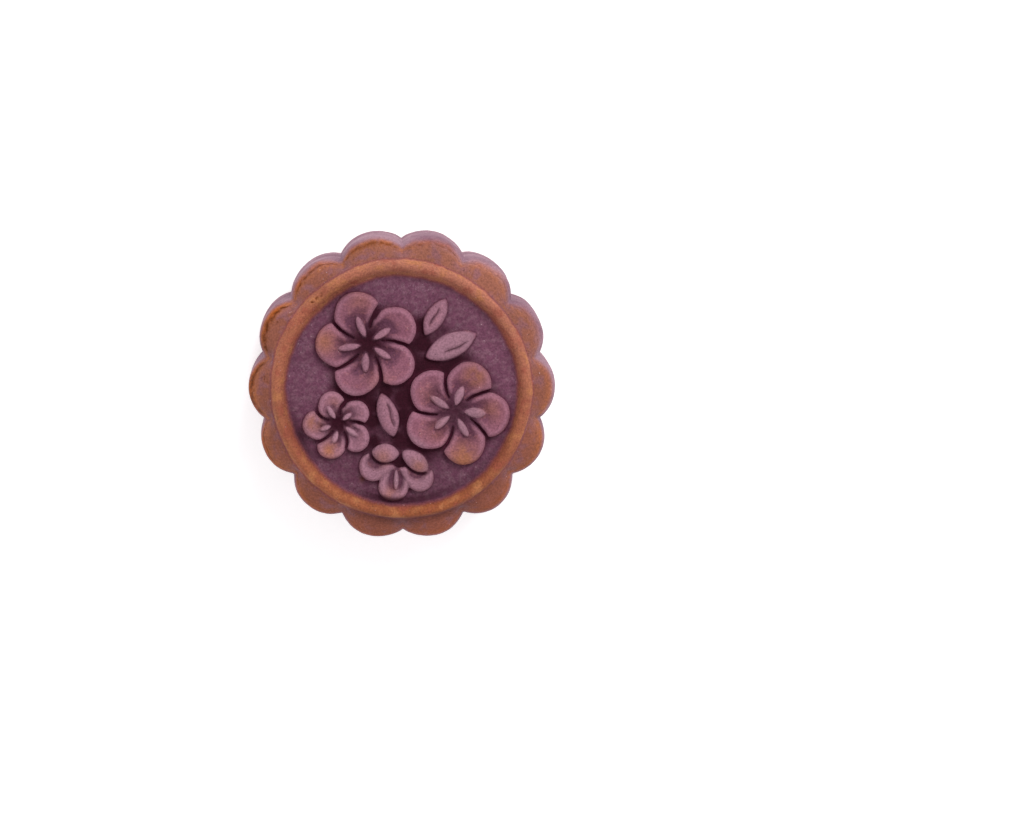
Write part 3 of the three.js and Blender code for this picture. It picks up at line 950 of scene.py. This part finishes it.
# Baked wheat dough pressed in a mould: matte and finely crumbed, mauve where it stayed moist and
# orange-brown where it stood nearest the heat.
bakedSkin = {
    # open floor; the hollows between the flowers, darker where the dough stayed moist and with painted shade;
    # and the slits between the petals, painted shade
    "floor": "#77475e",
    "floorPale": "#8b6172",
    "floorThread": "#a07a8c",
    "hollow": "#360d1d",
    "slit": "#561c33",
    # raised parts of the flowers, dried paler by the oven, with painted shade in their low pockets and a
    # painted highlight along their rims
    "petalInner": "#6d4256",
    "petal": "#925c6d",
    "petalDusk": "#7d4a5e",
    "petalRose": "#ab6c74",
    "petalEdge": "#a56f82",
    "toasted": "#a86a51",
    "pale": "#a87c8c",
    # ring and lobes, browned where they stood nearest the heat, and darker on the side away from the light
    # with painted shade
    "ring": "#bc7865",
    "ringBrown": "#995536",
    "ringGold": "#ba7850",
    "ringRed": "#9c4f42",
    "ringFoot": "#8a4b4a",
    "lobe": "#98604f",
    "lobeBrown": "#8f5242",
    "lobeMauve": "#8c5c64",
    "lobeEdge": "#b16a43",
    "lobeEdgeBrown": "#94503a",
    "scorched": "#b05a20",
    "burnt": "#632b04",
    "wall": "#8b6073",
    "wallPale": "#a47f8c",
    "underside": "#7a4638",
    "pore": "#40222a",
    # painted glints: tiny light specks over the open skin
    "speck": "#dcbcc4",
    "roughness": 0.72,
    "specular": 0.12,
    # what the skin's points carry
    "marks": ["raised", "proudHighlight", "toasted", "pale", "sunken", "creaseShade", "vein", "browningAndShade", "notch",
              "lobeEdge", "lobe", "ring", "wall", "underside", "shade", "scorched", "burnt"],
    # patterns all over: node, size in millimetres, settings and output
    "patterns": {
        "broad": ('ShaderNodeTexNoise', 7, {"Detail": 3, "Roughness": 0.5}, "Fac"),
        "blotch": ('ShaderNodeTexNoise', 2.2, {"Detail": 3, "Roughness": 0.5}, "Fac"),
        "mottle": ('ShaderNodeTexNoise', 0.9, {"Detail": 3, "Roughness": 0.6}, "Fac"),
        "grain": ('ShaderNodeTexNoise', 0.32, {"Detail": 2, "Roughness": 0.6}, "Fac"),
        "thready": ('ShaderNodeTexNoise', 1.1, {"Detail": 4, "Roughness": 0.65}, "Fac"),
        "dots": ('ShaderNodeTexVoronoi', 0.75, {}, "Distance"),
        "specks": ('ShaderNodeTexVoronoi', 0.62, {}, "Distance"),
    },
    # shares eased out of a pattern or a mark: source, where it is none and where it is full, and
    # what these become where that isn't 0 and 1
    "eased": {
        "floorMottled": ("mottle", 0.4, 0.7),
        "threadLines": ("threads", 0.035, 0),
        "threadPatches": ("blotch", 0.48, 0.62),
        "petalTops": ("raised", 0.42, 0.88),
        "duskPatches": ("blotch", 0.52, 0.36),
        "rosePatches": ("mottle", 0.52, 0.68),
        "toastPatches": ("blotch", 0.22, 0.5),
        "standing": ("raised", 0.1, 0.4),
        "mauvePatches": ("blotch", 0.48, 0.68),
        "edgePatches": ("mottle", 0.25, 0.6),
        "edgeBrowningAndShade": ("browningAndShade", 0.6, 0.95),
        "goldPatches": ("blotch", 0.5, 0.3),
        "redPatches": ("blotch", 0.5, 0.68),
        "ringCrest": ("ring", 0.35, 0.95),
        "ringWhole": ("ring", 0, 0.6),
        "paleClouds": ("broad", 0.3, 0.7),
        "palePatches": ("blotch", 0.4, 0.7),
        "burntPatches": ("mottle", 0.34, 0.54, 0.3, 1),
        "pores": ("dots", 0.16, 0.06),
        "speckDots": ("specks", 0.2, 0.08),
        "speckPatches": ("mottle", 0.54, 0.66),
        "openFloor": ("sunken", 0.7, 0.1),
        "broadTone": ("broad", 0.3, 0.7, 0.9, 1.08),
        "grainTone": ("grain", 0.3, 0.7, 0.82, 1.18),
    },
    # shares made of two others
    "joined": {
        "threadBy": ('MULTIPLY', "threadLines", "threadPatches"),
        "toastedBy": ('MULTIPLY', "toasted", "toastPatches"),
        "mauveBy": ('MAXIMUM', "mauvePatches", "notch"),
        "edgeBy": ('MULTIPLY', "lobeEdge", "edgePatches"),
        "burntBy": ('MULTIPLY', "burnt", "burntPatches"),
        "speckled": ('MULTIPLY', "speckDots", "speckPatches"),
        "glintSpeckBy": ('MULTIPLY', "speckled", "openFloor"),
        "tone": ('MULTIPLY', "broadTone", "grainTone"),
    },
    # each part's first colour, and then the coats laid over it: colour or part, share and strength
    "coats": {
        "openFloorCoat": ["floor", ("floorPale", "floorMottled", 0.8), ("floorThread", "threadBy", 0.5)],
        "petalCoat": ["petalInner", ("petal", "petalTops", 1), ("petalDusk", "duskPatches", 0.35),
                      ("petalRose", "rosePatches", 0.5), ("petalEdge", "proudHighlight", 0.8),
                      ("pale", "pale", 1), ("toasted", "toastedBy", 1)],
        "edgeCoat": ["lobeEdge", ("lobeEdgeBrown", "edgeBrowningAndShade", 1)],
        "lobeCoat": ["lobe", ("lobeBrown", "browningAndShade", 1), ("lobeMauve", "mauveBy", 0.7),
                     ("edgeCoat", "edgeBy", 1)],
        "crestCoat": ["ring", ("ringBrown", "browningAndShade", 1), ("ringGold", "goldPatches", 0.75),
                      ("ringRed", "redPatches", 0.6)],
        # the ring's sides keep the foot colour: less browned dough, and painted shade
        "ringCoat": ["ringFoot", ("crestCoat", "ringCrest", 1)],
        "wallCoat": ["wall", ("wallPale", "paleClouds", 1), ("wallPale", "palePatches", 0.4)],
        # the hollow, slit, ring-foot shade and vein coats are painted shade, and the glint specks a painted
        # highlight
        "wholeCoat": ["openFloorCoat", ("petalCoat", "standing", 1), ("hollow", "sunken", 1),
                      ("lobeCoat", "lobe", 1), ("ringCoat", "ringWhole", 1), ("wallCoat", "wall", 1),
                      ("underside", "underside", 1), ("pore", "shade", 0.45), ("slit", "creaseShade", 0.95),
                      ("hollow", "vein", 0.7), ("scorched", "scorched", 0.85), ("burnt", "burntBy", 1),
                      ("pore", "pores", 0.5), ("speck", "glintSpeckBy", 0.5)],
    },
    # fine crumb of the dough
    "crumbDepth": 0.16,
    "crumbStrength": 0.6,
    "grainDepth": 0.6,
    "poreDepth": 0.5,
}


def makeBakedSkin():
    look = bakedSkin
    material = bpy.data.materials.new("bakedDoughSkin")
    material.use_nodes = True
    tree = material.node_tree
    shader = tree.nodes["Principled BSDF"]
    place = addNode(tree, 'ShaderNodeTexCoord', output="Object")
    shares = {name: addNode(tree, 'ShaderNodeAttribute', {"attribute_name": name}, output="Fac")
              for name in look["marks"]}
    for name, (kind, size, settings, output) in look["patterns"].items():
        shares[name] = addNode(tree, kind, {"Scale": perMetre / size, **settings}, {"Vector": place}, output)
    # pale threads run where the thready pattern crosses its middle
    fromMiddle = addNode(tree, 'ShaderNodeMath', {"operation": 'SUBTRACT', 1: 0.5}, {0: shares["thready"]})
    shares["threads"] = addNode(tree, 'ShaderNodeMath', {"operation": 'ABSOLUTE'}, {0: fromMiddle})
    for name, (source, low, high, *ends) in look["eased"].items():
        newLow, newHigh = ends or (0, 1)
        shares[name] = addNode(tree, 'ShaderNodeMapRange', {
            "From Min": low, "From Max": high, "To Min": newLow, "To Max": newHigh,
            "interpolation_type": 'SMOOTHSTEP'}, {"Value": shares[source]}, "Result")
    for name, (operation, first, second) in look["joined"].items():
        shares[name] = addNode(tree, 'ShaderNodeMath', {"operation": operation},
                               {0: shares[first], 1: shares[second]})
    painted = {}
    for part, (below, *coats) in look["coats"].items():
        for above, share, strength in coats:
            laidBy = shares[share]
            if strength < 1:
                laidBy = addNode(tree, 'ShaderNodeMath', {"operation": 'MULTIPLY', 1: strength}, {0: laidBy})
            settings, links = {}, {"Fac": laidBy}
            for socket, source in (("Color1", below), ("Color2", above)):
                if source in look:
                    settings[socket] = toLinear(look[source])
                else:
                    links[socket] = painted[source]
            painted[part] = addNode(tree, 'ShaderNodeMixRGB', settings, links, "Color")
            below = part
    toned = addNode(tree, 'ShaderNodeVectorMath', {"operation": 'SCALE'},
                    {0: painted["wholeCoat"], "Scale": shares["tone"]})
    tree.links.new(toned, shader.inputs["Base Color"])
    shader.inputs["Roughness"].default_value = look["roughness"]
    shader.inputs["Specular IOR Level"].default_value = look["specular"]
    grainHeight = addNode(tree, 'ShaderNodeMath', {"operation": 'MULTIPLY', 1: look["grainDepth"]},
                          {0: shares["grain"]})
    poreHeight = addNode(tree, 'ShaderNodeMath', {"operation": 'MULTIPLY', 1: look["poreDepth"]},
                         {0: shares["pores"]})
    height = addNode(tree, 'ShaderNodeMath', {"operation": 'ADD'}, {0: grainHeight, 1: shares["mottle"]})
    height = addNode(tree, 'ShaderNodeMath', {"operation": 'SUBTRACT'}, {0: height, 1: poreHeight})
    crumb = addNode(tree, 'ShaderNodeBump', {"Strength": look["crumbStrength"],
                                             "Distance": look["crumbDepth"] / perMetre}, {"Height": height})
    tree.links.new(crumb, shader.inputs["Normal"])
    return material


cake.data.materials.clear()
cake.data.materials.append(makeBakedSkin())


# Floor, light and camera

studio = {
    "floorSize": 6.0,
    "floor": "#f4f4f4",  # matte paper, so it takes only a soft shadow
    "floorRoughness": 0.9,
    "floorGlow": 0.6,
    "world": "#ffffff",
    "worldStrength": 0.6,
    "keyPower": 2.85,
    "keySize": 0.35,
    "keyPlace": (0.21, 0.42, 0.67),
}


def makeStudio():
    deselectAll()
    bpy.ops.mesh.primitive_plane_add(size=studio["floorSize"], location=(0, 0, cadLow.z))
    floor = bpy.context.object
    floor.name = "paleFloor"
    paper = bpy.data.materials.new("whitePaper")
    paper.use_nodes = True
    surface = paper.node_tree.nodes["Principled BSDF"]
    surface.inputs["Base Color"].default_value = toLinear(studio["floor"])
    surface.inputs["Roughness"].default_value = studio["floorRoughness"]
    surface.inputs["Emission Color"].default_value = toLinear(studio["floor"])
    surface.inputs["Emission Strength"].default_value = studio["floorGlow"]
    floor.data.materials.append(paper)
    world = bpy.data.worlds.new("softRoom")
    world.use_nodes = True
    background = world.node_tree.nodes["Background"]
    background.inputs["Color"].default_value = toLinear(studio["world"])
    background.inputs["Strength"].default_value = studio["worldStrength"]
    bpy.context.scene.world = world
    bpy.ops.object.light_add(type='AREA', location=studio["keyPlace"])
    key = bpy.context.object
    key.name = "keyLight"
    key.data.energy = studio["keyPower"]
    key.data.size = studio["keySize"]
    key.rotation_euler = Vector(studio["keyPlace"]).to_track_quat('Z', 'Y').to_euler()


view = {
    "distance": 0.59,
    "tilt": 5.0,  # off the vertical, towards +Y, so the far wall shows along the picture's top
    "bearing": 96.0,
    "lens": 129.3,
    "sensor": 36,
    "picture": (1024, 819),
    "cakeAt": (402.4, 389.4),  # the middle of the cake's top, in the picture's pixels
}


def makeCamera():
    tilt, bearing = math.radians(view["tilt"]), math.radians(view["bearing"])
    back = Vector((math.sin(tilt) * math.cos(bearing), math.sin(tilt) * math.sin(bearing), math.cos(tilt)))
    topMiddle = Vector((0, 0, cadHigh.z))
    perPixel = view["distance"] * view["sensor"] / view["lens"] / view["picture"][0]
    aside = (view["picture"][0] / 2 - view["cakeAt"][0]) * perPixel
    below = (view["cakeAt"][1] - view["picture"][1] / 2) * perPixel
    place = topMiddle + back * view["distance"]
    forward = (topMiddle + Vector((aside, below, 0)) - place).normalized()
    right = forward.cross(Vector((0, 1, 0))).normalized()
    up = right.cross(forward)
    bpy.ops.object.camera_add(location=place)
    camera = bpy.context.object
    camera.name = "photoCamera"
    camera.rotation_euler = Matrix((right, up, -forward)).transposed().to_euler()
    camera.data.lens = view["lens"]
    camera.data.sensor_width = view["sensor"]
    bpy.context.scene.camera = camera


makeStudio()
makeCamera()
bpy.context.scene.view_settings.view_transform = 'Standard'
print("studio ready")
